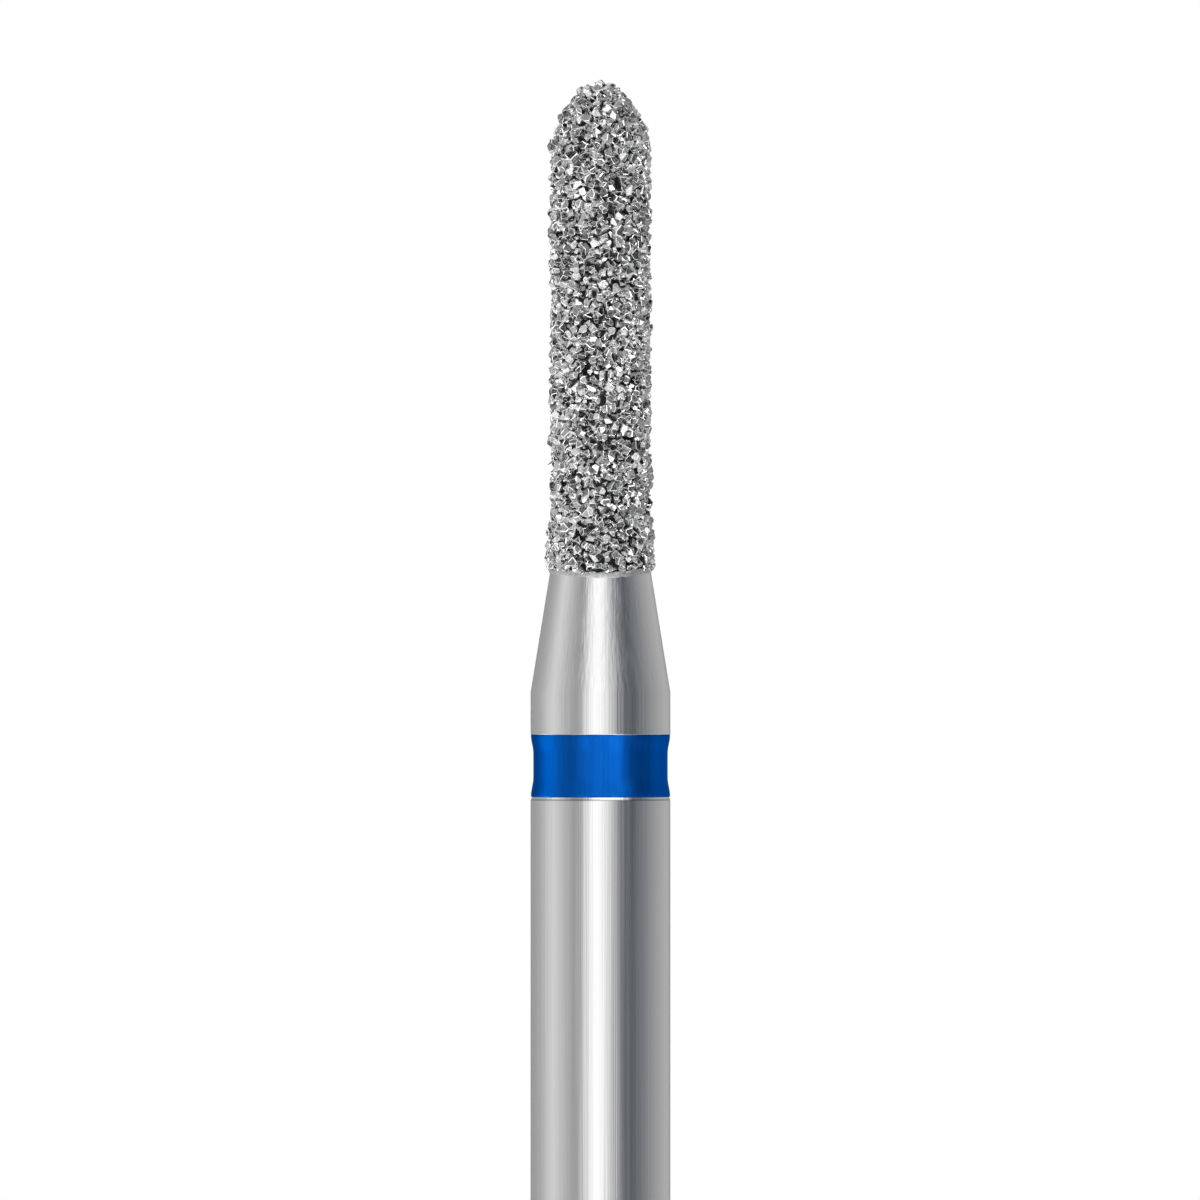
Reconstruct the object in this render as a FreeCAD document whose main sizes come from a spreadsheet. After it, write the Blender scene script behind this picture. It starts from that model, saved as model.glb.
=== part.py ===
import FreeCAD, Part

import math
import os
import random

import Sketcher
from FreeCAD import Vector

# A friction grip dental bur that stands on the end of its shank, tip up.
# Millimetres. The axis of rotation is Z, and z = 0 is the flat end of the shank.

DRIVING_SIZES = [
    ("overall_length", "19.0", "end of the shank to the tip of the grit"),
    ("shank_diameter", "1.60", "friction grip shank"),
    ("shank_chamfer", "0.20", "chamfer round the end of the shank"),
    ("collar_length", "0.48", "straight collar between the cone and the colour ring"),
    ("neck_length", "1.38", "cone from the collar up to the shoulder"),
    ("shoulder_diameter", "1.154", "top of the cone, where the head begins"),
    ("ring_width", "0.71", "colour ring, along the axis"),
    ("ring_dish", "0.028", "how deep the face of the ring is hollowed"),
    ("groove_depth", "0.16", "seat of the colour ring, below the shank's surface"),
    ("edge_break_depth", "0.006", "how far both edges of the groove are bevelled back"),
    ("upper_edge_break", "0.012", "height of the bevel above the ring"),
    ("lower_edge_break", "0.045", "height of the bevel below the ring"),
    ("head_length", "5.63", "shoulder to the tip of the grit"),
    ("nose_length", "0.90", "rounded end of the head"),
    ("core_diameter", "0.92", "turned core that carries the coat"),
    ("bond_depth", "0.063", "core to the bottom of the gaps between grains"),
    ("nose_tip_radius", "0.240", "blunt tip of the nose, at the bottom of the gaps"),
    ("coat_foot_inset", "0.010", "bare rim of the shoulder outside the coat"),
    ("bead_diameter", "1.15", "swelling of the coat close to the shoulder"),
    ("bead_height", "0.13", "shoulder to the widest part of the swelling"),
    ("bead_taper", "0.75", "widest part of the swelling to the straight side"),
    ("grain_pitch", "0.168", "from one grain to the next, round the head"),
    ("row_pitch", "0.147", "from one row of grains to the next"),
    ("grain_height", "0.100", "full height of an unbroken grain above the gaps"),
    ("grain_shift", "0.052", "how far a corner of a grain strays from its place"),
    ("shortest_grain", "0.35", "share of its full height left on a worn corner"),
    ("tallest_grain", "0.62", "share of its full height left on a sharp corner"),
]

SHANK_RADIUS = "Sizes.shank_diameter / 2"
BEVEL_RADIUS = f"{SHANK_RADIUS} - Sizes.edge_break_depth"
SEAT_RADIUS = f"{SHANK_RADIUS} - Sizes.groove_depth"
SHOULDER_RADIUS = "Sizes.shoulder_diameter / 2"
CORE_RADIUS = "Sizes.core_diameter / 2"
BOND_RADIUS = f"{CORE_RADIUS} + Sizes.bond_depth"

HEAD_BASE = "Sizes.overall_length - Sizes.head_length"
NECK_BASE = f"{HEAD_BASE} - Sizes.neck_length"
RING_TOP = f"{NECK_BASE} - Sizes.collar_length"
RING_BOTTOM = f"{RING_TOP} - Sizes.ring_width"
NOSE_BASE = "Sizes.overall_length - Sizes.nose_length"

# The worn grain at the very tip stands this high above the gaps.
TIP_GRAIN = "Sizes.grain_height * Sizes.shortest_grain"
BOND_TIP = f"Sizes.overall_length - {TIP_GRAIN}"

GRIT_SEED = 12

# How a sketch numbers its own axes and the places on an edge.
ORIGIN, UPRIGHT_AXIS = -1, -2
START, END, CENTRE = range(1, 4)


def fill_sheet(doc):
    """The sheet of driving sizes: name, number and meaning in one row each."""
    sheet = doc.addObject("Spreadsheet::Sheet", "Sizes")
    for row, (name, value, meaning) in enumerate(DRIVING_SIZES, start=1):
        sheet.set(f"A{row}", name)
        sheet.set(f"B{row}", value)
        sheet.set(f"C{row}", meaning)
        sheet.setAlias(f"B{row}", name)
    doc.recompute()
    return sheet


def value_of(thing, rule):
    """The number that a rule of the sheet gives now."""
    return float(thing.evalExpression(rule))


def half_plane_sketch(body, name):
    """A sketch in the body's XZ plane: radius to the right, height upwards."""
    sketch = body.newObject("Sketcher::SketchObject", name)
    upright = next(f for f in body.Origin.OriginFeatures if f.Role == "XZ_Plane")
    sketch.AttachmentSupport = [(upright, "")]
    sketch.MapMode = "FlatFace"
    return sketch


def bind(sketch, constraint, rule):
    """Add a dimension whose value follows the sheet."""
    index = sketch.addConstraint(constraint)
    sketch.setExpression(f"Constraints[{index}]", rule)


def place_start(sketch, edge, radius_rule, height_rule):
    """Hold the start of an edge at a radius and a height."""
    if radius_rule == "0":
        sketch.addConstraint(Sketcher.Constraint("PointOnObject", edge, START, UPRIGHT_AXIS))
    else:
        radius = value_of(sketch, radius_rule)
        held = Sketcher.Constraint("DistanceX", ORIGIN, START, edge, START, radius)
        bind(sketch, held, radius_rule)
    height = value_of(sketch, height_rule)
    held = Sketcher.Constraint("DistanceY", ORIGIN, START, edge, START, height)
    bind(sketch, held, height_rule)


def draw_lines(sketch, rules):
    """Straight edges from corner to corner, each corner held by its two rules."""
    corners = [Vector(value_of(sketch, r), value_of(sketch, z), 0) for r, z in rules]
    first = sketch.GeometryCount
    for start, end in zip(corners, corners[1:]):
        sketch.addGeometry(Part.LineSegment(start, end))
    for edge in range(first, sketch.GeometryCount - 1):
        sketch.addConstraint(Sketcher.Constraint("Coincident", edge, END, edge + 1, START))
    for edge, (radius_rule, height_rule) in enumerate(rules[:-1], start=first):
        place_start(sketch, edge, radius_rule, height_rule)
    return sketch.GeometryCount - 1


def draw_nose(sketch, side, radius_rule, tip_rule, tip_radius_rule):
    """Bullet nose on top of a straight side: an ogive arc, then a blunt tip arc."""
    radius = value_of(sketch, radius_rule)
    base = value_of(sketch, NOSE_BASE)
    tip = value_of(sketch, tip_rule)
    tip_radius = value_of(sketch, tip_radius_rule)
    rise = tip - tip_radius - base
    ogive_radius = (radius**2 + rise**2 - tip_radius**2) / (2 * (radius - tip_radius))
    ogive_centre = Vector(radius - ogive_radius, base, 0)
    turn = math.atan2(rise, ogive_radius - radius)
    up = Vector(0, 0, 1)
    ogive = Part.ArcOfCircle(Part.Circle(ogive_centre, up, ogive_radius), 0, turn)
    blunt = Part.ArcOfCircle(
        Part.Circle(Vector(0, base + rise, 0), up, tip_radius), turn, math.pi / 2
    )
    ogive_edge = sketch.addGeometry(ogive)
    blunt_edge = sketch.addGeometry(blunt)
    sketch.addConstraint(Sketcher.Constraint("Tangent", side, END, ogive_edge, START))
    sketch.addConstraint(Sketcher.Constraint("Tangent", ogive_edge, END, blunt_edge, START))
    sketch.addConstraint(
        Sketcher.Constraint("PointOnObject", blunt_edge, CENTRE, UPRIGHT_AXIS)
    )
    sketch.addConstraint(Sketcher.Constraint("PointOnObject", blunt_edge, END, UPRIGHT_AXIS))
    held = Sketcher.Constraint("DistanceY", ORIGIN, START, ogive_edge, START, base)
    bind(sketch, held, NOSE_BASE)
    held = Sketcher.Constraint("DistanceY", ORIGIN, START, blunt_edge, END, tip)
    bind(sketch, held, tip_rule)
    bind(sketch, Sketcher.Constraint("Radius", blunt_edge, tip_radius), tip_radius_rule)
    return blunt_edge


def turn_outline(body, kind, name, sketch):
    """Revolve a closed sketch right round the upright axis."""
    turned = body.newObject(kind, name)
    turned.Profile = sketch
    turned.ReferenceAxis = (sketch, ["V_Axis"])
    turned.Angle = 360
    sketch.Visibility = False
    return turned


def named_body(doc, name):
    """An empty body whose label names its file."""
    body = doc.addObject("PartDesign::Body", name)
    body.Label = name
    body.Placement = FreeCAD.Placement()
    return body


def steel_blank(doc):
    """The bar that is turned in one piece: shank, collar, cone, shoulder and core."""
    body = named_body(doc, "steel_blank")
    outline = half_plane_sketch(body, "blank_outline")
    side = draw_lines(
        outline,
        [
            ("0", "0"),
            (SHANK_RADIUS, "0"),
            (SHANK_RADIUS, NECK_BASE),
            (SHOULDER_RADIUS, HEAD_BASE),
            (CORE_RADIUS, HEAD_BASE),
            (CORE_RADIUS, NOSE_BASE),
        ],
    )
    outline.addConstraint(Sketcher.Constraint("Vertical", side))
    nose = draw_nose(
        outline,
        side,
        CORE_RADIUS,
        f"{BOND_TIP} - Sizes.bond_depth",
        "Sizes.nose_tip_radius - Sizes.bond_depth",
    )
    tip = Vector(0, value_of(outline, f"{BOND_TIP} - Sizes.bond_depth"), 0)
    axis = outline.addGeometry(Part.LineSegment(tip, Vector(0, 0, 0)))
    outline.addConstraint(Sketcher.Constraint("Coincident", nose, END, axis, START))
    outline.addConstraint(Sketcher.Constraint("Coincident", axis, END, 0, START))
    bar = turn_outline(body, "PartDesign::Revolution", "turned_bar", outline)
    doc.recompute()

    chamfer = body.newObject("PartDesign::Chamfer", "end_chamfer")
    chamfer.Base = (bar, [end_edge_name(bar.Shape)])
    chamfer.setExpression("Size", "Sizes.shank_chamfer")
    doc.recompute()
    whole = body.Shape.Volume

    seat = half_plane_sketch(body, "ring_seat_outline")
    last = draw_lines(
        seat,
        [
            (SEAT_RADIUS, RING_BOTTOM),
            (BEVEL_RADIUS, RING_BOTTOM),
            (SHANK_RADIUS, f"{RING_BOTTOM} - Sizes.lower_edge_break"),
            (SHANK_RADIUS, f"{RING_TOP} + Sizes.upper_edge_break"),
            (BEVEL_RADIUS, RING_TOP),
            (SEAT_RADIUS, RING_TOP),
            (SEAT_RADIUS, RING_BOTTOM),
        ],
    )
    seat.addConstraint(Sketcher.Constraint("Coincident", last, END, 0, START))
    turn_outline(body, "PartDesign::Groove", "ring_seat", seat)
    doc.recompute()
    if not body.Shape.Volume < whole:
        raise RuntimeError("the seat of the colour ring was not cut")
    return body


def end_edge_name(shape):
    """The round edge at the bottom end of the shank."""
    lowest = min(
        (edge for edge in shape.Edges if edge.Closed),
        key=lambda edge: edge.CenterOfMass.z,
    )
    return next(
        f"Edge{number}"
        for number, edge in enumerate(shape.Edges, start=1)
        if edge.isSame(lowest)
    )


def colour_ring(doc):
    """The ring of lacquer that fills the groove, its face slightly hollow."""
    body = named_body(doc, "colour_ring")
    outline = half_plane_sketch(body, "ring_outline")
    inside = draw_lines(
        outline,
        [
            (BEVEL_RADIUS, RING_TOP),
            (SEAT_RADIUS, RING_TOP),
            (SEAT_RADIUS, RING_BOTTOM),
            (BEVEL_RADIUS, RING_BOTTOM),
        ],
    )
    hollow_rule = "(Sizes.ring_width ^ 2 / 4 + Sizes.ring_dish ^ 2) / (2 * Sizes.ring_dish)"
    hollow = value_of(outline, hollow_rule)
    face = value_of(outline, BEVEL_RADIUS)
    middle = value_of(outline, f"({RING_TOP} + {RING_BOTTOM}) / 2")
    reach = hollow - value_of(outline, "Sizes.ring_dish")
    half_turn = math.asin(value_of(outline, "Sizes.ring_width") / 2 / hollow)
    circle = Part.Circle(Vector(face + reach, middle, 0), Vector(0, 0, 1), hollow)
    arc = outline.addGeometry(
        Part.ArcOfCircle(circle, math.pi - half_turn, math.pi + half_turn)
    )
    outline.addConstraint(Sketcher.Constraint("Coincident", arc, START, 0, START))
    outline.addConstraint(Sketcher.Constraint("Coincident", arc, END, inside, END))
    held = Sketcher.Constraint("DistanceX", ORIGIN, START, arc, END, face)
    bind(outline, held, BEVEL_RADIUS)
    bottom = value_of(outline, RING_BOTTOM)
    held = Sketcher.Constraint("DistanceY", ORIGIN, START, arc, END, bottom)
    bind(outline, held, RING_BOTTOM)
    bind(outline, Sketcher.Constraint("Radius", arc, hollow), hollow_rule)
    turn_outline(body, "PartDesign::Revolution", "lacquer", outline)
    doc.recompute()
    return body


def bond_outline(doc):
    """The open line along which the gaps between grains lie, shoulder to tip."""
    sketch = doc.addObject("Sketcher::SketchObject", "bond_outline")
    sketch.Placement = FreeCAD.Placement(Vector(), FreeCAD.Rotation(Vector(1, 0, 0), 90))
    side = draw_lines(
        sketch,
        [
            (f"{SHOULDER_RADIUS} - Sizes.coat_foot_inset", HEAD_BASE),
            ("Sizes.bead_diameter / 2", f"{HEAD_BASE} + Sizes.bead_height"),
            (BOND_RADIUS, f"{HEAD_BASE} + Sizes.bead_height + Sizes.bead_taper"),
            (BOND_RADIUS, NOSE_BASE),
        ],
    )
    sketch.addConstraint(Sketcher.Constraint("Vertical", side))
    draw_nose(sketch, side, BOND_RADIUS, BOND_TIP, "Sizes.nose_tip_radius")
    sketch.Visibility = False
    doc.recompute()
    return sketch


def ring_of_corners(draw, sizes, row, station, along):
    """One row of grain corners round the head, unevenly spaced after the first row."""
    count = max(4, round(2 * math.pi * station.x / sizes.grain_pitch))
    loose = sizes.grain_shift if row else 0
    corners = []
    for number in range(count):
        sideways = draw.uniform(-loose, loose) / sizes.grain_pitch
        angle = 2 * math.pi * (number + row % 2 / 2 + sideways) / count
        place = station + along * draw.uniform(-loose, loose)
        corner = Vector(place.x * math.cos(angle), place.x * math.sin(angle), place.z)
        corners.append((angle, corner))
    return corners


def lies_at(row, number):
    """Angle and place of a corner, counted on past a full turn."""
    turns, number = divmod(number, len(row))
    angle, corner = row[number]
    return angle + 2 * math.pi * turns, corner


def cells_between(lower, upper):
    """Triangles that fill the band between two rows of corners."""
    cells = []
    low = high = 0
    while low < len(lower) or high < len(upper):
        low_angle, low_corner = lies_at(lower, low)
        next_low_angle, next_low = lies_at(lower, low + 1)
        high_angle, high_corner = lies_at(upper, high)
        next_high_angle, next_high = lies_at(upper, high + 1)
        low_is_next = low_angle + next_low_angle < high_angle + next_high_angle
        if high == len(upper) or (low < len(lower) and low_is_next):
            cells.append((low_corner, next_low, high_corner))
            low += 1
        else:
            cells.append((low_corner, next_high, high_corner))
            high += 1
    return cells


def grain_faces(draw, sizes, corners):
    """A broken crystal on one cell: three sides that lean to a peak, and a slanted cap."""
    first, second, third = corners
    outward = (second - first).cross(third - first).normalize()
    shares = [draw.uniform(1, 2) for corner in corners]
    middle = first * shares[0] + second * shares[1] + third * shares[2]
    peak = middle / sum(shares) + outward * sizes.grain_height
    cap = []
    for corner in corners:
        share = draw.uniform(sizes.shortest_grain, sizes.tallest_grain)
        cap.append(corner + (peak - corner) * share)
    faces = [Part.Face(Part.makePolygon(cap + cap[:1]))]
    for near, far in ((0, 1), (1, 2), (2, 0)):
        side = [corners[near], corners[far], cap[far], cap[near], corners[near]]
        faces.append(Part.Face(Part.makePolygon(side)))
    return faces


def grit_block(doc, sizes, outline):
    """The head as one closed body of crystals, before it is fitted over the core."""
    draw = random.Random(GRIT_SEED)
    line = Part.Wire(Part.__sortEdges__(outline.Shape.Edges))
    rows_wanted = round(line.Length / sizes.row_pitch)
    stations = line.discretize(Number=rows_wanted + 1)
    if stations[0].z > stations[-1].z:
        stations.reverse()
    tip = Vector(0, 0, stations[-1].z)
    rows = []
    for row, station in enumerate(stations[:-1]):
        along = (stations[row + 1] - station).normalize()
        rows.append(ring_of_corners(draw, sizes, row, station, along))
    cells = []
    for lower, upper in zip(rows, rows[1:]):
        cells += cells_between(lower, upper)
    cells += [
        (lies_at(rows[-1], number)[1], lies_at(rows[-1], number + 1)[1], tip)
        for number in range(len(rows[-1]))
    ]
    foot = [corner for angle, corner in rows[0]]
    faces = [Part.Face(Part.makePolygon(foot + foot[:1]))]
    for corners in cells:
        faces += grain_faces(draw, sizes, corners)
    block = doc.addObject("Part::Feature", "grit_block")
    solid = Part.makeSolid(Part.Shell(faces))
    block.Shape = solid if solid.Volume > 0 else solid.reversed()
    block.Placement = FreeCAD.Placement()
    return block


def diamond_coat(doc, sizes, blank):
    """One layer of diamond grit in nickel, seated on the core and the shoulder."""
    coat = doc.addObject("Part::Cut", "diamond_coat")
    coat.Label = "diamond_coat"
    coat.Base = grit_block(doc, sizes, bond_outline(doc))
    coat.Tool = blank
    coat.Refine = False
    doc.recompute()
    return coat


def check_document(doc, pieces):
    """Stop before anything is written if a feature or a piece has failed."""
    for thing in doc.Objects:
        if "Invalid" in thing.State or "Error" in thing.State:
            raise RuntimeError(f"{thing.Name} has failed: {thing.State}")
    for piece in pieces:
        if piece.Shape.isNull() or not piece.Shape.isValid():
            raise RuntimeError(f"{piece.Label} has no sound shape")
        if len(piece.Shape.Solids) != 1:
            raise RuntimeError(f"{piece.Label} is not one solid")


doc = FreeCAD.newDocument("dental_bur")
sizes = fill_sheet(doc)
blank = steel_blank(doc)
pieces = [blank, diamond_coat(doc, sizes, blank), colour_ring(doc)]
doc.recompute()
check_document(doc, pieces)

os.makedirs("parts", exist_ok=True)
for piece in pieces:
    piece.Shape.exportStep(os.path.join("parts", piece.Label + ".step"))
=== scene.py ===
import math
import random

import bmesh
import bpy
from mathutils import Matrix, Quaternion, Vector, noise


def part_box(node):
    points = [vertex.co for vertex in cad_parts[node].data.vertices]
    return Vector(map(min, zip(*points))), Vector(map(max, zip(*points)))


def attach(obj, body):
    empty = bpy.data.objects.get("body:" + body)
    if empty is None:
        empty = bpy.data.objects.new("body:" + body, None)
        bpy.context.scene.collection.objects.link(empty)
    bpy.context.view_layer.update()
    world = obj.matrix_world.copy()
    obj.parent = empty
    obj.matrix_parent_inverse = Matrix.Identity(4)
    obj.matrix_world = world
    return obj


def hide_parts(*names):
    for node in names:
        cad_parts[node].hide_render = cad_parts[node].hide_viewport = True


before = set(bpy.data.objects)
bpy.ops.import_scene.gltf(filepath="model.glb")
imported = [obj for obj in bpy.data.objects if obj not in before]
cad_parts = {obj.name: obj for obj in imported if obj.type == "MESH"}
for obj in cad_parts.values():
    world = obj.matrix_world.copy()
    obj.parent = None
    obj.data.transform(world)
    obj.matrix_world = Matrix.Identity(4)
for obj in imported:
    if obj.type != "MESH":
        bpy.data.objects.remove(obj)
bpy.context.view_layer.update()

MM = 0.001

# Steel blank: shank, collar, cone and core, turned from one stainless bar and then polished.
# The long surfaces keep faint lengthwise drawing lines, and every edge is slightly broken.
# The CAD solid has the same sizes, but coarse facets, so a smooth turned mesh stands for it.
LATHE_STEPS = 256
END_CHAMFER = 0.20 * MM
EDGE_ROUNDING = 0.012 * MM
GROOVE_DEPTH = 0.16 * MM
NECK_LENGTH = 1.38 * MM
SHOULDER_RADIUS = 0.577 * MM
SHOULDER_RISE = 0.01 * MM
CORE_RADIUS = 0.46 * MM
# The core narrows from the first of these two depths under the tip, and ends at the second.
CORE_NOSE = 0.8 * MM
CORE_END = 0.3 * MM
# Bevels above and below the ring: their height and how far they go in. The lower one laps over
# the lacquer, and a thin darker line of painted shade runs along its foot.
UPPER_BREAK = 0.012 * MM
UPPER_DEPTH = 0.001 * MM
LOWER_BREAK = 0.045 * MM
LOWER_DEPTH = 0.018 * MM
LOWER_LAP = 0.010 * MM
SHADE_LINE_WIDTH = 0.018 * MM

ring_low, ring_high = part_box("colour_ring")
coat_low, coat_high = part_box("diamond_coat")
SHANK_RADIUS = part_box("steel_blank")[1].x
HEAD_BASE = coat_low.z
HEAD_TIP = coat_high.z
NECK_BASE = HEAD_BASE - NECK_LENGTH


def linear(hex_colour):
    """sRGB hex to the linear RGBA that a shader socket takes."""
    parts = [int(hex_colour[i:i + 2], 16) / 255 for i in (1, 3, 5)]
    return [p / 12.92 if p <= 0.04045 else ((p + 0.055) / 1.055) ** 2.4 for p in parts] + [1.0]


def add_node(tree, kind, inputs=None, **settings):
    """Add a node, set its options, and set or link its inputs."""
    node = tree.nodes.new(kind)
    for name, value in settings.items():
        setattr(node, name, value)
    for name, value in (inputs or {}).items():
        if isinstance(value, bpy.types.NodeSocket):
            tree.links.new(value, node.inputs[name])
        else:
            node.inputs[name].default_value = value
    return node


def new_material(name):
    """An empty node material and its output node."""
    material = bpy.data.materials.new(name)
    material.use_nodes = True
    tree = material.node_tree
    tree.nodes.clear()
    return material, tree, add_node(tree, "ShaderNodeOutputMaterial")


def new_object(name, mesh, material):
    """Link a mesh as an object with one material."""
    mesh.materials.append(material)
    piece = bpy.data.objects.new(name, mesh)
    bpy.context.scene.collection.objects.link(piece)
    return piece


def soften(profile, radius, steps=5):
    """Round every inner corner of a (radius, height) line, with a close line each side of it."""
    longest_share, guard = 0.3, 1.4
    points = [Vector(p) for p in profile]
    soft = [points[0]]
    for before, corner, after in zip(points, points[1:], points[2:]):
        back, ahead = before - corner, after - corner
        reach = min(radius, longest_share * back.length, longest_share * ahead.length)
        start = corner + back.normalized() * reach
        end = corner + ahead.normalized() * reach
        soft.append(corner + back.normalized() * reach * guard)
        for i in range(steps + 1):
            t = i / steps
            soft.append(start * (1 - t) ** 2 + corner * 2 * t * (1 - t) + end * t * t)
        soft.append(corner + ahead.normalized() * reach * guard)
    return soft + [points[-1]]


def turn_on_lathe(name, profile, material, closed=False):
    """Revolve a (radius, height) line about the axis into a smooth mesh."""
    verts, faces, rows = [], [], []
    for r, z in profile:
        if r < 1e-9:
            rows.append([len(verts)])
            verts.append((0, 0, z))
            continue
        rows.append(range(len(verts), len(verts) + LATHE_STEPS))
        for i in range(LATHE_STEPS):
            angle = 2 * math.pi * i / LATHE_STEPS
            verts.append((r * math.cos(angle), r * math.sin(angle), z))
    if closed:
        rows.append(rows[0])
    for low, high in zip(rows, rows[1:]):
        for i in range(LATHE_STEPS):
            j = (i + 1) % LATHE_STEPS
            if len(low) == 1:
                faces.append((low[0], high[j], high[i]))
            elif len(high) == 1:
                faces.append((low[i], low[j], high[0]))
            else:
                faces.append((low[i], low[j], high[j], high[i]))
    mesh = bpy.data.meshes.new(name)
    mesh.from_pydata(verts, [], faces)
    mesh.shade_smooth()
    return new_object(name, mesh, material)


def polished_stainless_steel():
    """Bright and almost neutral; the drawing lines blur its reflections a little along them.

    A line of painted shade along the foot of the lower bevel is darker, and reads as a thin line.
    """
    material, tree, output = new_material("polished_stainless_steel")
    place = add_node(tree, "ShaderNodeTexCoord")
    height = add_node(tree, "ShaderNodeSeparateXYZ", {"Vector": place.outputs["Object"]})
    # Painted shade: a thin band of darker base colour along the foot of the lower bevel.
    shade_line_middle = ring_low.z - LOWER_BREAK + SHADE_LINE_WIDTH / 2
    off_shade_line = add_node(tree, "ShaderNodeMath", {
        0: height.outputs["Z"], 1: shade_line_middle}, operation="SUBTRACT")
    beside = add_node(tree, "ShaderNodeMath", {
        0: off_shade_line.outputs["Value"]}, operation="ABSOLUTE")
    fade_start, fade_end = 0.35 * SHADE_LINE_WIDTH, 0.65 * SHADE_LINE_WIDTH
    outside_shade_line = add_node(tree, "ShaderNodeMapRange", {
        "Value": beside.outputs["Value"], "From Min": fade_start, "From Max": fade_end})
    shade = add_node(tree, "ShaderNodeMix", {
        "Factor": outside_shade_line.outputs["Result"], "A": linear("#AEB0B4"), "B": linear("#E8E8E9")},
        data_type="RGBA")
    line_width = 0.03 * MM
    width_to_length = 0.006
    stretched = add_node(tree, "ShaderNodeMapping", {
        "Vector": place.outputs["Object"], "Scale": (1, 1, width_to_length)})
    lines = add_node(tree, "ShaderNodeTexNoise", {
        "Vector": stretched.outputs["Vector"], "Scale": 1 / line_width, "Detail": 3.0})
    roughness = add_node(tree, "ShaderNodeMapRange", {
        "Value": lines.outputs["Fac"], "From Min": 0.3, "From Max": 0.7,
        "To Min": 0.16, "To Max": 0.26})
    bump = add_node(tree, "ShaderNodeBump", {
        "Height": lines.outputs["Fac"], "Strength": 1.0, "Distance": 0.0022 * MM})
    steel = add_node(tree, "ShaderNodeBsdfPrincipled", {
        "Base Color": shade.outputs["Result"], "Metallic": 1.0,
        "Roughness": roughness.outputs["Result"], "Normal": bump.outputs["Normal"]})
    tree.links.new(steel.outputs["BSDF"], output.inputs["Surface"])
    return material


blank_profile = soften([
    (0, 0),
    (SHANK_RADIUS - END_CHAMFER, 0),
    (SHANK_RADIUS, END_CHAMFER),
    (SHANK_RADIUS, ring_low.z - LOWER_BREAK),
    (SHANK_RADIUS - LOWER_DEPTH, ring_low.z + LOWER_LAP),
    (SHANK_RADIUS - GROOVE_DEPTH, ring_low.z + LOWER_LAP),
    (SHANK_RADIUS - GROOVE_DEPTH, ring_high.z),
    (SHANK_RADIUS - UPPER_DEPTH, ring_high.z),
    (SHANK_RADIUS, ring_high.z + UPPER_BREAK),
    (SHANK_RADIUS, NECK_BASE),
    (SHOULDER_RADIUS, HEAD_BASE),
    (CORE_RADIUS, HEAD_BASE + SHOULDER_RISE),
    (CORE_RADIUS, HEAD_TIP - CORE_NOSE),
    (0, HEAD_TIP - CORE_END),
], EDGE_ROUNDING)
blank = turn_on_lathe("turned_blank", blank_profile, polished_stainless_steel())
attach(blank, "root")
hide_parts("steel_blank")


# Colour ring: transparent blue lacquer run into the turned groove, so the bright steel under it
# shows through as blue metal. It shrank as it dried, so its face is hollow and its edges stand up.
RING_DISH = 0.025 * MM
RING_LIP = 0.004 * MM
# Shares of the half width: the flat in the middle, and the slope up to the lip beside it.
RING_FLAT = 0.40
RING_SLOPE = 0.58
# The flat bows in by this share of the dish.
RING_BOW = 0.12
ring_width = ring_high.z - ring_low.z
ring_edge = SHANK_RADIUS - RING_LIP


def blue_lacquer():
    """Clear blue over turned steel: the marks run round, so reflections spread along the axis."""
    material, tree, output = new_material("blue_lacquer_on_steel")
    place = add_node(tree, "ShaderNodeTexCoord")
    cloud_size = 0.25 * MM
    clouds = add_node(tree, "ShaderNodeTexNoise", {
        "Vector": place.outputs["Object"], "Scale": 1 / cloud_size, "Detail": 4.0})
    line_width = 0.04 * MM
    width_to_length = 0.03
    stretched = add_node(tree, "ShaderNodeMapping", {
        "Vector": place.outputs["Object"], "Scale": (1, 1, width_to_length)})
    lines = add_node(tree, "ShaderNodeTexNoise", {
        "Vector": stretched.outputs["Vector"], "Scale": 1 / line_width, "Detail": 3.0})
    streaks = add_node(tree, "ShaderNodeMapRange", {
        "Value": lines.outputs["Fac"], "From Min": 0.25, "From Max": 0.75})
    tint = add_node(tree, "ShaderNodeMix", {
        "Factor": streaks.outputs["Result"], "A": linear("#095DBD"), "B": linear("#0D69CF")},
        data_type="RGBA")
    roughness = add_node(tree, "ShaderNodeMapRange", {
        "Value": clouds.outputs["Fac"], "To Min": 0.40, "To Max": 0.46})
    round_about = add_node(tree, "ShaderNodeTangent", direction_type="RADIAL", axis="Z")
    lacquer = add_node(tree, "ShaderNodeBsdfPrincipled", {
        "Base Color": tint.outputs["Result"], "Metallic": 1.0,
        "Anisotropic": 0.9, "Anisotropic Rotation": 0.25,
        "Tangent": round_about.outputs["Tangent"],
        "Specular Tint": linear("#4FC0EE"),
        "Roughness": roughness.outputs["Result"]})
    tree.links.new(lacquer.outputs["BSDF"], output.inputs["Surface"])
    return material


def hollow_face(steps=40):
    """The ring's face from its lower edge to its upper one: nearly flat, with rounded lips."""
    face = []
    for i in range(steps + 1):
        off = abs(2 * i / steps - 1)
        t = min(1.0, max(0.0, (off - RING_FLAT) / RING_SLOPE))
        lift = t * t * (3 - 2 * t)
        bow = RING_BOW * (off ** 2 - 1)
        face.append((ring_edge - RING_DISH * (1 - lift) + RING_DISH * bow * (1 - lift),
                     ring_low.z + ring_width * i / steps))
    return face


ring_seat = SHANK_RADIUS - GROOVE_DEPTH
ring_profile = hollow_face() + [(ring_seat, ring_high.z), (ring_seat, ring_low.z)]
ring = turn_on_lathe("lacquer_ring", ring_profile, blue_lacquer(), closed=True)
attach(ring, "root")
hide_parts("colour_ring")


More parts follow.
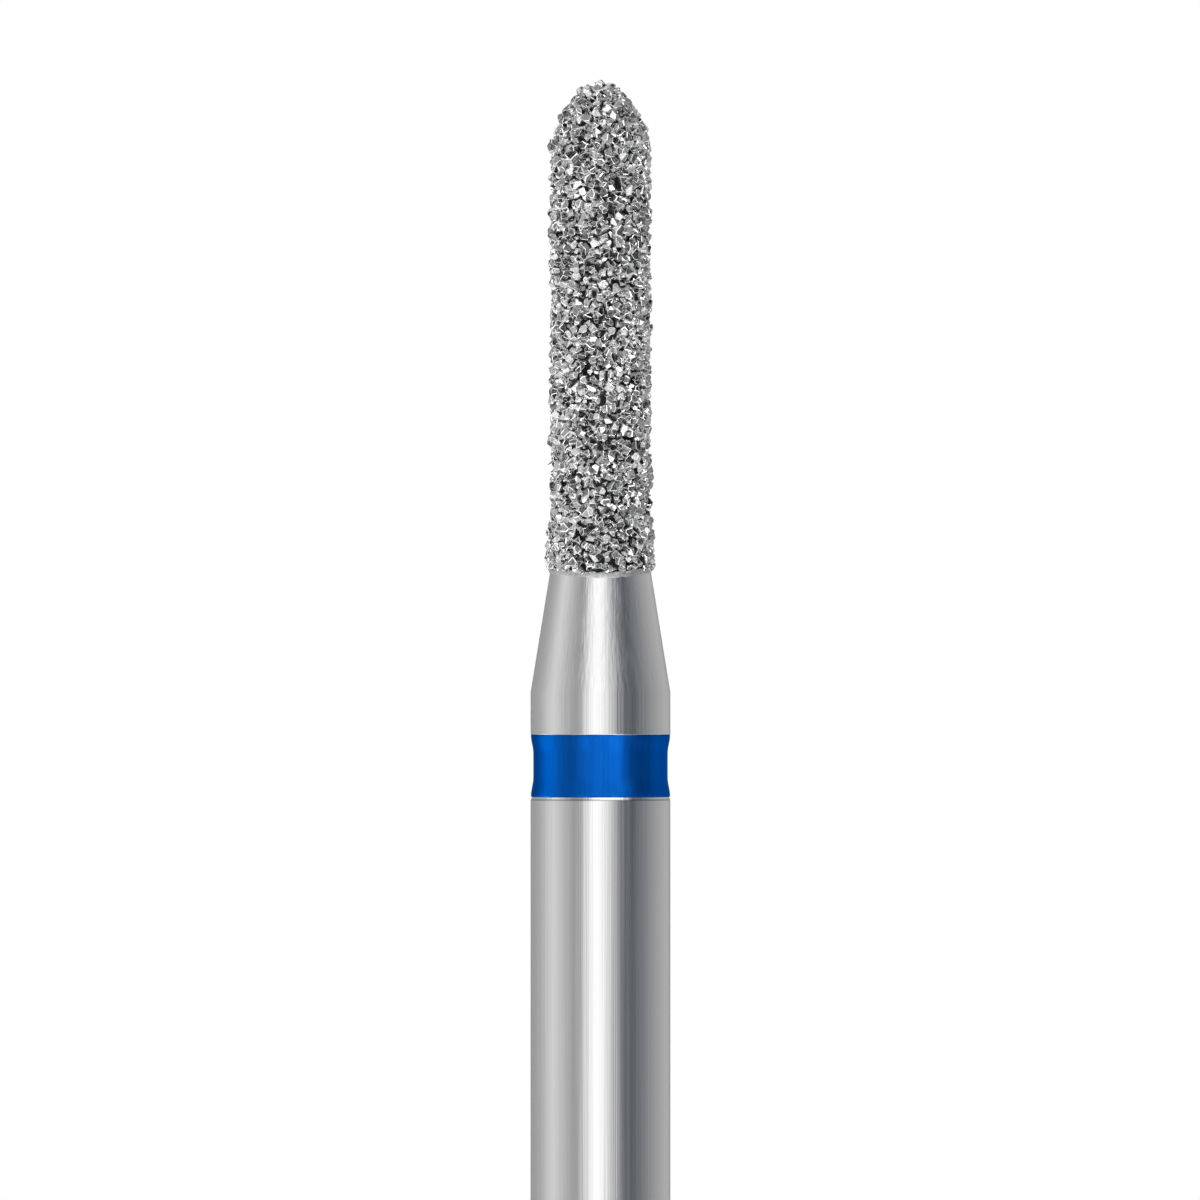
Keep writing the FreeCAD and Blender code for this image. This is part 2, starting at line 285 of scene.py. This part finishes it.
# Nickel bond: plated onto the core until it holds the grains by half. It swells close to the
# shoulder, ends in a thin edge on the neck, and its surface is lumpy between the grains.
BOND_RADIUS = 0.523 * MM
BEAD_RADIUS = 0.574 * MM
BEAD_HEIGHT = 0.13 * MM
BEAD_TAPER = 0.75 * MM
NOSE_LENGTH = 0.90 * MM
NOSE_TIP_RADIUS = 0.250 * MM
TIP_GAP = 0.072 * MM
LUMP_SIZE = 0.05 * MM
LUMP_HEIGHT = 0.009 * MM
# The foot begins as a skin on the neck, and swells by this much over this height.
SKIRT_SKIN = 0.0003 * MM
SKIRT_SWELL = 0.006 * MM
SKIRT_HEIGHT = 0.045 * MM
# The foot stands this far above the shoulder, and dips by this much from there in front.
FOOT_LIFT = 0.015 * MM
FOOT_DIP = 0.057 * MM
bond_tip = HEAD_TIP - TIP_GAP


def bond_line():
    """The bond's outline as (radius, height) points, close together, from foot to tip."""
    nose_steps, tip_steps = 12, 8
    base = HEAD_TIP - NOSE_LENGTH
    rise = bond_tip - NOSE_TIP_RADIUS - base
    ogive = (BOND_RADIUS ** 2 + rise ** 2 - NOSE_TIP_RADIUS ** 2) / (
        2 * (BOND_RADIUS - NOSE_TIP_RADIUS))
    turn = math.atan2(rise, ogive - BOND_RADIUS)
    line = [
        Vector((SHOULDER_RADIUS, HEAD_BASE)),
        Vector((BEAD_RADIUS, HEAD_BASE + BEAD_HEIGHT)),
        Vector((BOND_RADIUS, HEAD_BASE + BEAD_HEIGHT + BEAD_TAPER)),
        Vector((BOND_RADIUS, base)),
    ]
    for i in range(1, nose_steps + 1):
        angle = turn * i / nose_steps
        line.append(Vector((
            BOND_RADIUS - ogive + ogive * math.cos(angle), base + ogive * math.sin(angle))))
    for i in range(1, tip_steps + 1):
        angle = turn + (math.pi / 2 - turn) * i / tip_steps
        line.append(Vector((
            NOSE_TIP_RADIUS * math.cos(angle), base + rise + NOSE_TIP_RADIUS * math.sin(angle))))
    return line


def walk(line, step):
    """Points at even steps along a line."""
    lengths = [(b - a).length for a, b in zip(line, line[1:])]
    count = round(sum(lengths) / step)
    points, edge, passed = [], 0, 0.0
    for i in range(count + 1):
        target = sum(lengths) * i / count
        while edge < len(lengths) - 1 and passed + lengths[edge] < target:
            passed += lengths[edge]
            edge += 1
        points.append(line[edge].lerp(line[edge + 1], min(1, (target - passed) / lengths[edge])))
    return points


def foot_drop(angle):
    """How far the coat's foot runs down the neck; most on the side that faces the camera."""
    front = max(0.0, math.cos(angle + math.pi / 2))
    return FOOT_DIP * front ** 2 - FOOT_LIFT


def neck_radius(z):
    """Radius of the neck's cone at a height."""
    slope = (SHANK_RADIUS - SHOULDER_RADIUS) / NECK_LENGTH
    return SHOULDER_RADIUS + (HEAD_BASE - z) * slope


def nickel_in_painted_shade():
    """Matt nickel coloured near black all over: painted shade for the gaps between the grains,
    where little light comes back out.
    """
    material, tree, output = new_material("nickel_in_painted_shade")
    place = add_node(tree, "ShaderNodeTexCoord")
    lump_size = 0.02 * MM
    lumps = add_node(tree, "ShaderNodeTexNoise", {
        "Vector": place.outputs["Object"], "Scale": 1 / lump_size, "Detail": 4.0})
    # The near-black colour is painted shade for the gaps between the grains.
    shade = add_node(tree, "ShaderNodeMix", {
        "Factor": lumps.outputs["Fac"], "A": linear("#0A0A0B"), "B": linear("#38393B")},
        data_type="RGBA")
    bump = add_node(tree, "ShaderNodeBump", {
        "Height": lumps.outputs["Fac"], "Strength": 0.6, "Distance": 0.006 * MM})
    nickel = add_node(tree, "ShaderNodeBsdfPrincipled", {
        "Base Color": shade.outputs["Result"], "Metallic": 1.0, "Roughness": 0.38,
        "Normal": bump.outputs["Normal"]})
    tree.links.new(nickel.outputs["BSDF"], output.inputs["Surface"])
    return material


def nickel_bond():
    """The lumpy sleeve under the grains, from the shoulder to the tip."""
    around, step = 180, 0.02 * MM
    rows = walk(bond_line(), step)
    verts = []
    for i, (r, z) in enumerate(rows[:-1]):
        settle = max(0.0, 1 - (z - HEAD_BASE) / BEAD_HEIGHT)
        for k in range(around):
            angle = 2 * math.pi * k / around
            lower = z - foot_drop(angle) * settle
            spot = Vector((math.cos(angle) * r, math.sin(angle) * r, lower)) / LUMP_SIZE
            lump = noise.noise(spot) * LUMP_HEIGHT * min(1, i / 3)
            clear = (lower - HEAD_BASE + foot_drop(angle)) / SKIRT_HEIGHT
            swell = min(1.0, max(0.0, clear))
            cover = SKIRT_SKIN + SKIRT_SWELL * swell ** 3
            wide = max(r + lump * swell, neck_radius(lower) + cover if lower < HEAD_BASE else 0)
            verts.append((wide * math.cos(angle), wide * math.sin(angle), lower))
    count = len(rows) - 1
    faces = []
    for i in range(count - 1):
        for k in range(around):
            a, b = i * around + k, i * around + (k + 1) % around
            faces.append((a, b, b + around, a + around))
    tip = len(verts)
    verts.append((0, 0, rows[-1].y))
    last = (count - 1) * around
    for k in range(around):
        faces.append((last + k, last + (k + 1) % around, tip))
    mesh = bpy.data.meshes.new("nickel_bond")
    mesh.from_pydata(verts, [], faces)
    mesh.shade_smooth()
    return new_object("nickel_bond", mesh, nickel_in_painted_shade())


bond = nickel_bond()
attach(bond, "root")
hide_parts("diamond_coat")


# Plating edge: where the nickel runs out over the neck. It is thin and satin bright, its upper
# side buried under the lowest grains, and it dips with them on the side towards the camera.
EDGE_SKIN = 0.007 * MM
EDGE_SINK = 0.0002 * MM
# The skin reaches this far below the foot of the grains, and this far up under them.
PLATING_EDGE = 0.030 * MM
EDGE_RISE = 0.040 * MM
EDGE_WANDER = 0.012 * MM
EDGE_WAVES = 9


def satin_nickel():
    """Pale grey nickel with a fine mottle, duller than the polished steel beside it."""
    material, tree, output = new_material("satin_nickel_plating")
    place = add_node(tree, "ShaderNodeTexCoord")
    mottle_size = 0.02 * MM
    mottle = add_node(tree, "ShaderNodeTexNoise", {
        "Vector": place.outputs["Object"], "Scale": 1 / mottle_size, "Detail": 3.0})
    shade = add_node(tree, "ShaderNodeMix", {
        "Factor": mottle.outputs["Fac"], "A": linear("#8E8F92"), "B": linear("#F4F4F5")},
        data_type="RGBA")
    bump = add_node(tree, "ShaderNodeBump", {
        "Height": mottle.outputs["Fac"], "Strength": 0.8, "Distance": 0.008 * MM})
    nickel = add_node(tree, "ShaderNodeBsdfPrincipled", {
        "Base Color": shade.outputs["Result"], "Metallic": 1.0, "Roughness": 0.46,
        "Normal": bump.outputs["Normal"]})
    tree.links.new(nickel.outputs["BSDF"], output.inputs["Surface"])
    return material


def plating_edge():
    """A skin on the neck: its lower side thins out to nothing along an uneven line."""
    around, levels = 256, 8
    verts, faces = [], []
    for i in range(levels + 1):
        t = i / levels
        for k in range(around):
            angle = 2 * math.pi * k / around
            spot = Vector((math.cos(angle), math.sin(angle), 0)) * EDGE_WAVES
            foot = HEAD_BASE - foot_drop(angle) - PLATING_EDGE + noise.noise(spot) * EDGE_WANDER
            z = foot + (PLATING_EDGE + EDGE_RISE) * t
            base = neck_radius(z) if z < HEAD_BASE else SHOULDER_RADIUS
            r = base + EDGE_SKIN * math.sin(math.pi * t) - EDGE_SINK
            verts.append((r * math.cos(angle), r * math.sin(angle), z))
    for i in range(levels):
        for k in range(around):
            a, b = i * around + k, i * around + (k + 1) % around
            faces.append((a, b, b + around, a + around))
    mesh = bpy.data.meshes.new("plating_edge")
    mesh.from_pydata(verts, [], faces)
    mesh.shade_smooth()
    return new_object("plating_edge", mesh, satin_nickel())


edge = plating_edge()
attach(edge, "root")
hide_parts("diamond_coat")


# Diamond grains: blocky crushed crystals, a single layer, sunk by about half into the nickel.
# A thin film of nickel greys their facets. Their edges and a few facets are painted bright, as
# painted glints.
GRAIN_SEED = 7
# Each size class: smallest and largest radius in mm, closeness to its neighbours, places tried.
GRAIN_CLASSES = {
    "coarse_grains": (0.053, 0.066, 0.76, 12000),
    "medium_grains": (0.042, 0.053, 0.72, 16000),
    "fine_grains": (0.026, 0.040, 0.66, 20000),
}
# Shape of a crystal, in its own radii: how far off its cube and octahedron planes stand, how
# much they tilt, which corners melt into one, and how wide the worn edges are.
CRYSTAL_KINDS = 36
CUBE_PLANES = (0.66, 1.0)
CORNER_PLANES = (0.78, 1.2)
PLANE_TILT = 0.2
CORNER_MERGE = 0.08
WORN_EDGE = 0.19
# Seat of a grain, in its radii: how far its centre is sunk or proud of the nickel, and how high
# above the foot it has to sit. The grains at the tip are pressed down to this depth under it.
SEAT = (-0.45, 0.3)
FOOT_ROOM = 0.8
TIP_PRESS = 0.006 * MM
# Film on a facet, from 0 for dark to 1 for bright: partly shared by all facets of a grain, and
# curved towards dark. Edges and a few facets are painted bright instead, as painted glints.
FILM_SHARED = 0.4
FILM_TOP = 0.95
FILM_CURVE = 1.4
GLINT_FILM = (0.8, 1.4)
GLINT_FACETS = 0.06


def crystal(draw):
    """One broken crystal, cut by planes near those of a cube and an octahedron, edges worn."""
    normals = [Vector(n) for n in (
        (1, 0, 0), (-1, 0, 0), (0, 1, 0), (0, -1, 0), (0, 0, 1), (0, 0, -1))]
    normals += [Vector((x, y, z)) for x in (-1, 1) for y in (-1, 1) for z in (-1, 1)]
    cuts = bmesh.new()
    for i, normal in enumerate(normals):
        tilt = Vector([draw.gauss(0, PLANE_TILT) for axis in range(3)])
        distance = draw.uniform(*(CUBE_PLANES if i < 6 else CORNER_PLANES))
        cuts.verts.new((normal.normalized() + tilt).normalized() / distance)
    bmesh.ops.convex_hull(cuts, input=cuts.verts)
    corners = []
    for face in cuts.faces:
        face.normal_update()
        corners.append(face.normal / face.normal.dot(face.verts[0].co))
    cuts.free()
    body = bmesh.new()
    for corner in corners:
        body.verts.new(corner)
    bmesh.ops.remove_doubles(body, verts=body.verts, dist=CORNER_MERGE)
    result = bmesh.ops.convex_hull(body, input=body.verts)
    spare = {v for v in result["geom_interior"] + result["geom_unused"]
             if isinstance(v, bmesh.types.BMVert)}
    bmesh.ops.delete(body, geom=list(spare), context="VERTS")
    bmesh.ops.dissolve_limit(
        body, angle_limit=math.radians(5), verts=body.verts, edges=body.edges)
    wear_and_glint = bmesh.ops.bevel(
        body, geom=list(body.edges), offset=WORN_EDGE, segments=1, affect="EDGES",
        profile=0.5, clamp_overlap=True)
    edge_faces = set(wear_and_glint["faces"])
    body.verts.index_update()
    shape = [v.co.copy() for v in body.verts]
    faces = [([v.index for v in f.verts], f in edge_faces) for f in body.faces]
    body.free()
    return shape, faces


def grain_sites(draw, line):
    """Where grains sit: large ones first, then smaller ones in the gaps that are left."""
    step, least_weight = 0.01 * MM, 0.004 * MM
    rows = walk(line, step)
    weights = [max(row.x, least_weight) for row in rows]
    cell = 2 * GRAIN_CLASSES["coarse_grains"][1] * MM
    grid = {}
    sites = {}
    for kind, (smallest, largest, closeness, tries) in GRAIN_CLASSES.items():
        sites[kind] = []
        for attempt in range(tries):
            row = draw.choices(range(len(rows) - 1), weights[:-1])[0]
            r, z = rows[row].lerp(rows[row + 1], draw.random())
            along = (rows[row + 1] - rows[row]).normalized()
            angle = draw.uniform(-math.pi, math.pi)
            radius = draw.uniform(smallest, largest) * MM
            if z < HEAD_BASE + FOOT_ROOM * radius:
                continue
            spot = Vector((r * math.cos(angle), r * math.sin(angle), z))
            spot.z -= foot_drop(angle) * max(0.0, 1 - (z - HEAD_BASE) / BEAD_HEIGHT)
            key = tuple(int(math.floor(c / cell)) for c in spot)
            near = [site for x in (-1, 0, 1) for y in (-1, 0, 1) for w in (-1, 0, 1)
                    for site in grid.get((key[0] + x, key[1] + y, key[2] + w), ())]
            if all((site[0] - spot).length > closeness * (site[2] + radius) for site in near):
                out = Vector((along.y * math.cos(angle), along.y * math.sin(angle), -along.x))
                site = (spot, out, radius)
                grid.setdefault(key, []).append(site)
                sites[kind].append(site)
    return sites


def nickel_filmed_diamond():
    """Facets from dark to light grey, each a small rough mirror, with edges painted bright as
    glints.
    """
    material, tree, output = new_material("nickel_filmed_diamond")
    place = add_node(tree, "ShaderNodeTexCoord")
    film_and_glint = add_node(tree, "ShaderNodeAttribute", attribute_name="film_and_glint")
    speck_size = 0.022 * MM
    specks = add_node(tree, "ShaderNodeTexNoise", {
        "Vector": place.outputs["Object"], "Scale": 1 / speck_size, "Detail": 2.0})
    mottled = add_node(tree, "ShaderNodeMath", {
        0: specks.outputs["Fac"], 1: -0.5}, operation="ADD")
    wear_and_glint = add_node(tree, "ShaderNodeMath", {
        0: mottled.outputs["Value"], 1: 1.2, 2: film_and_glint.outputs["Fac"]},
        operation="MULTIPLY_ADD", use_clamp=True)
    shade = add_node(tree, "ShaderNodeMix", {
        "Factor": wear_and_glint.outputs["Value"], "A": linear("#121213"), "B": linear("#FFFFFF")},
        data_type="RGBA")
    bump = add_node(tree, "ShaderNodeBump", {
        "Height": specks.outputs["Fac"], "Strength": 0.5, "Distance": 0.004 * MM})
    grain = add_node(tree, "ShaderNodeBsdfPrincipled", {
        "Base Color": shade.outputs["Result"], "Metallic": 0.85, "Roughness": 0.20,
        "Normal": bump.outputs["Normal"]})
    tree.links.new(grain.outputs["BSDF"], output.inputs["Surface"])
    return material


def grain_piece(name, sites, crystals, draw, material):
    """Grains of one size class as one mesh, each a turned and scaled copy of a crystal."""
    verts, faces, films_and_glints = [], [], []
    for spot, out, radius in sites:
        shape, shape_faces = draw.choice(crystals)
        spin = Quaternion([draw.gauss(0, 1) for part in range(4)]).normalized().to_matrix()
        stretch = Matrix.Diagonal([draw.uniform(0.8, 1.2) for axis in range(3)])
        centre = spot + out * radius * draw.uniform(*SEAT)
        turned = spin @ stretch
        top = max((centre + turned @ corner * radius).z for corner in shape)
        centre.z -= max(0.0, top - HEAD_TIP + TIP_PRESS)
        first = len(verts)
        verts += [centre + turned @ corner * radius for corner in shape]
        grain_film = draw.random()
        for face, is_edge in shape_faces:
            faces.append([first + i for i in face])
            # Edge faces and a few facets at random take bright values: painted glints.
            glinting = is_edge or draw.random() < GLINT_FACETS
            own = FILM_SHARED * grain_film + (1 - FILM_SHARED) * draw.random()
            films_and_glints.append(draw.uniform(*GLINT_FILM) if glinting else FILM_TOP * own ** FILM_CURVE)
    mesh = bpy.data.meshes.new(name)
    mesh.from_pydata(verts, [], faces)
    mesh.attributes.new("film_and_glint", "FLOAT", "FACE").data.foreach_set("value", films_and_glints)
    return new_object(name, mesh, material)


grain_draw = random.Random(GRAIN_SEED)
crystals = [crystal(grain_draw) for kind in range(CRYSTAL_KINDS)]
grain_material = nickel_filmed_diamond()
for kind, sites in grain_sites(grain_draw, bond_line()).items():
    grains = grain_piece(kind, sites, crystals, grain_draw, grain_material)
    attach(grains, "root")
    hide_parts("diamond_coat")


# Studio wall: a round wall of softboxes and cards that lights the bur and that the steel mirrors.
# The shank shows its level rows. The bevel shows the high rows, and the ring all three at once.
WALL_RADIUS = 120 * MM
WALL_LOW = -100 * MM
WALL_HIGH = 125 * MM
WALL_LIGHT = 0.45
# The level rows give way to the high and the low ones between these heights.
LEAN_ABOVE = (66 * MM, 80 * MM)
LEAN_BELOW = (-15 * MM, -35 * MM)
# Each panel: degrees to the right of the camera, half width, softness of its edge, light added.
LEVEL_PANELS = [
    (-4.6, 17, 54, 1.03),
    (-85, 13, 53, 0.42),
    (50, 29, 98, -0.36),
    (52, 5, 20, -0.03),
    (-36, 8, 14, -0.20),
    (180, 20, 12, -0.20),
    (180, 9, 12, 0.95),
    (136, 8, 30, 0.06),
    (-145, 14, 30, -0.07),
]
HIGH_PANELS = [
    (15, 30, 32, 1.22),
    (-92, 12, 38, 0.66),
    (-116, 16, 36, 2.00),
    (-47, 12, 24, -0.17),
    (74, 26, 40, -0.36),
    (-145, 14, 30, -0.25),
    (180, 12, 16, 0.80),
]
LOW_PANELS = [
    (13, 29, 44, 0.95),
    (-92, 13, 50, 0.55),
    (-118, 16, 34, 2.45),
    (72, 24, 60, -0.13),
    (128, 12, 40, 0.60),
    (180, 12, 16, 0.80),
]


def ramp(value, start, end):
    """Smooth step from 0 at the start to 1 at the end."""
    t = min(1.0, max(0.0, (value - start) / (end - start)))
    return t * t * (3 - 2 * t)


def panel_light(bearing, panels):
    """Light of the wall in one direction, from the panels that stand there."""
    light = WALL_LIGHT
    for centre, half_width, softness, added in panels:
        off = abs((bearing - centre + 180) % 360 - 180)
        light += added * ramp(off, half_width + softness / 2, half_width - softness / 2)
    return light


def wall_light(bearing, z):
    """Light of the wall at one place: level rows in the middle, others near its top and foot."""
    high, low = ramp(z, *LEAN_ABOVE), ramp(z, *LEAN_BELOW)
    return (panel_light(bearing, LEVEL_PANELS) * (1 - high - low)
            + panel_light(bearing, HIGH_PANELS) * high
            + panel_light(bearing, LOW_PANELS) * low)


def softbox_cloth():
    """Glowing white cloth; its dimmest places are a little bluer, as grey cards are."""
    material, tree, output = new_material("softbox_cloth")
    glow = add_node(tree, "ShaderNodeAttribute", attribute_name="glow")
    bright = add_node(tree, "ShaderNodeMapRange", {
        "Value": glow.outputs["Fac"], "From Min": 0.08, "From Max": 0.40})
    tone = add_node(tree, "ShaderNodeMix", {
        "Factor": bright.outputs["Result"], "A": linear("#E6F2FF"), "B": linear("#FFFFFF")},
        data_type="RGBA")
    light = add_node(tree, "ShaderNodeEmission", {
        "Color": tone.outputs["Result"], "Strength": glow.outputs["Fac"]})
    tree.links.new(light.outputs["Emission"], output.inputs["Surface"])
    return material


def studio_wall():
    """Upright wall of light round the bur, unseen by the camera itself."""
    steps, levels = 180, 40
    verts, faces, glows = [], [], []
    for level in range(levels + 1):
        z = WALL_LOW + (WALL_HIGH - WALL_LOW) * level / levels
        for i in range(steps):
            bearing = 360 * i / steps
            turn = math.radians(bearing - 90)
            verts.append((WALL_RADIUS * math.cos(turn), WALL_RADIUS * math.sin(turn), z))
            glows.append(wall_light(bearing, z))
    for level in range(levels):
        for i in range(steps):
            a, b = level * steps + i, level * steps + (i + 1) % steps
            faces.append((a, a + steps, b + steps, b))
    mesh = bpy.data.meshes.new("studio_wall")
    mesh.from_pydata(verts, [], faces)
    mesh.attributes.new("glow", "FLOAT", "POINT").data.foreach_set("value", glows)
    return new_object("studio_wall", mesh, softbox_cloth())


wall = studio_wall()
wall.visible_camera = False


# Studio ceiling: dim cloth over the wall, so that the room's full white stays outside.
# It keeps the nose of the head as grey as its sides.
CEILING_LIGHT = 0.27


def glowing_cloth(name, strength):
    """Plain white light from a whole surface, with no pattern that the metal could mirror."""
    material, tree, output = new_material(name)
    light = add_node(tree, "ShaderNodeEmission", {"Strength": strength})
    tree.links.new(light.outputs["Emission"], output.inputs["Surface"])
    return material


def disc(name, radius, height, material, steps=96):
    """A flat round face about the axis."""
    rim = [(radius * math.cos(2 * math.pi * i / steps),
            radius * math.sin(2 * math.pi * i / steps), height) for i in range(steps)]
    mesh = bpy.data.meshes.new(name)
    mesh.from_pydata(rim, [], [list(range(steps))])
    return new_object(name, mesh, material)


ceiling_cloth = glowing_cloth("ceiling_cloth", CEILING_LIGHT)
ceiling = disc("studio_ceiling", WALL_RADIUS, WALL_HIGH, ceiling_cloth)
ceiling.visible_camera = False


# Lamps: four small softboxes inside the wall that face the head and light the grains from above
# and below. They stand too high or too low for the polished steel to mirror.
LAMP_DISTANCE = 105 * MM
# Each lamp: bearing and height in degrees as the head sees it, half width in degrees, strength.
LAMPS = {
    "high_right_softbox": (60, 56, 12, 4.3),
    "high_left_softbox": (-60, 54, 10, 2.3),
    "low_left_softbox": (-30, -38, 8, 4.2),
    "low_right_softbox": (28, -34, 9, 5.0),
}


def softbox(name, bearing, height, half_width, strength):
    """A square lamp at its place, turned to the middle of the head."""
    half = LAMP_DISTANCE * math.tan(math.radians(half_width))
    mesh = bpy.data.meshes.new(name)
    mesh.from_pydata(
        [(-half, -half, 0), (half, -half, 0), (half, half, 0), (-half, half, 0)],
        [], [(0, 1, 2, 3)])
    lamp = new_object(name, mesh, glowing_cloth(name, strength))
    turn, lift = math.radians(bearing - 90), math.radians(height)
    out = Vector((math.cos(turn) * math.cos(lift), math.sin(turn) * math.cos(lift),
                  math.sin(lift)))
    lamp.location = Vector((0, 0, (HEAD_BASE + HEAD_TIP) / 2)) + out * LAMP_DISTANCE
    lamp.rotation_mode = "QUATERNION"
    lamp.rotation_quaternion = (-out).to_track_quat("Z", "Y")
    return lamp


for name, settings in LAMPS.items():
    lamp = softbox(name, *settings)
    lamp.visible_camera = False


# Floor: a pale disc of paper that the bur stands on. It keeps the bur's shadow in its middle and
# fades into the white room at its rim.
FLOOR_RADIUS = 14 * MM


def white_paper():
    """Matt off-white paper, which glows as white as the room towards its rim."""
    material, tree, output = new_material("white_paper")
    place = add_node(tree, "ShaderNodeTexCoord")
    reach = add_node(tree, "ShaderNodeVectorMath", {0: place.outputs["Object"]},
                     operation="LENGTH")
    fade_start, fade_end = 0.35 * FLOOR_RADIUS, 0.95 * FLOOR_RADIUS
    fade = add_node(tree, "ShaderNodeMapRange", {
        "Value": reach.outputs["Value"], "From Min": fade_start, "From Max": fade_end},
        interpolation_type="SMOOTHSTEP")
    paper = add_node(tree, "ShaderNodeBsdfDiffuse", {"Color": linear("#E4E4E6")})
    white = add_node(tree, "ShaderNodeEmission", {"Strength": 1.0})
    mixed = add_node(tree, "ShaderNodeMixShader", {
        "Fac": fade.outputs["Result"], 1: paper.outputs["BSDF"], 2: white.outputs["Emission"]})
    tree.links.new(mixed.outputs["Shader"], output.inputs["Surface"])
    return material


floor = disc("studio_floor", FLOOR_RADIUS, 0, white_paper())


# White room: the plain white that the camera sees behind the bur, as in the photo.
# The picture keeps plain sRGB, so that a white of 1 stays white.
room = bpy.data.worlds.new("white_room")
bpy.context.scene.world = room
room.use_nodes = True
room.node_tree.nodes.clear()
sky = add_node(room.node_tree, "ShaderNodeBackground", {
    "Color": linear("#FFFFFF"), "Strength": 1.0})
room_output = add_node(room.node_tree, "ShaderNodeOutputWorld")
room.node_tree.links.new(sky.outputs["Background"], room_output.inputs["Surface"])
bpy.context.scene.view_settings.view_transform = "Standard"


# Camera: level with the middle of the part that shows, far away with a long lens, so the bur
# looks as straight as on a drawing. The picture's lower edge cuts the shank.
PICTURE_PIXELS = 1200
PIXELS_PER_MM = 87.5
TIP_PIXEL = 79
AXIS_PIXEL = 600.5
CAMERA_DISTANCE = 300 * MM

picture_height = PICTURE_PIXELS / PIXELS_PER_MM * MM
aim_height = HEAD_TIP - (PICTURE_PIXELS / 2 - TIP_PIXEL) / PIXELS_PER_MM * MM
camera_data = bpy.data.cameras.new("camera")
camera_data.lens = camera_data.sensor_width * CAMERA_DISTANCE / picture_height
camera_data.clip_start = 1 * MM
camera = bpy.data.objects.new("camera", camera_data)
off_axis = (PICTURE_PIXELS / 2 - AXIS_PIXEL) / PIXELS_PER_MM * MM
camera.location = (off_axis, -CAMERA_DISTANCE, aim_height)
camera.rotation_euler = (math.pi / 2, 0, 0)
bpy.context.scene.collection.objects.link(camera)
bpy.context.scene.camera = camera
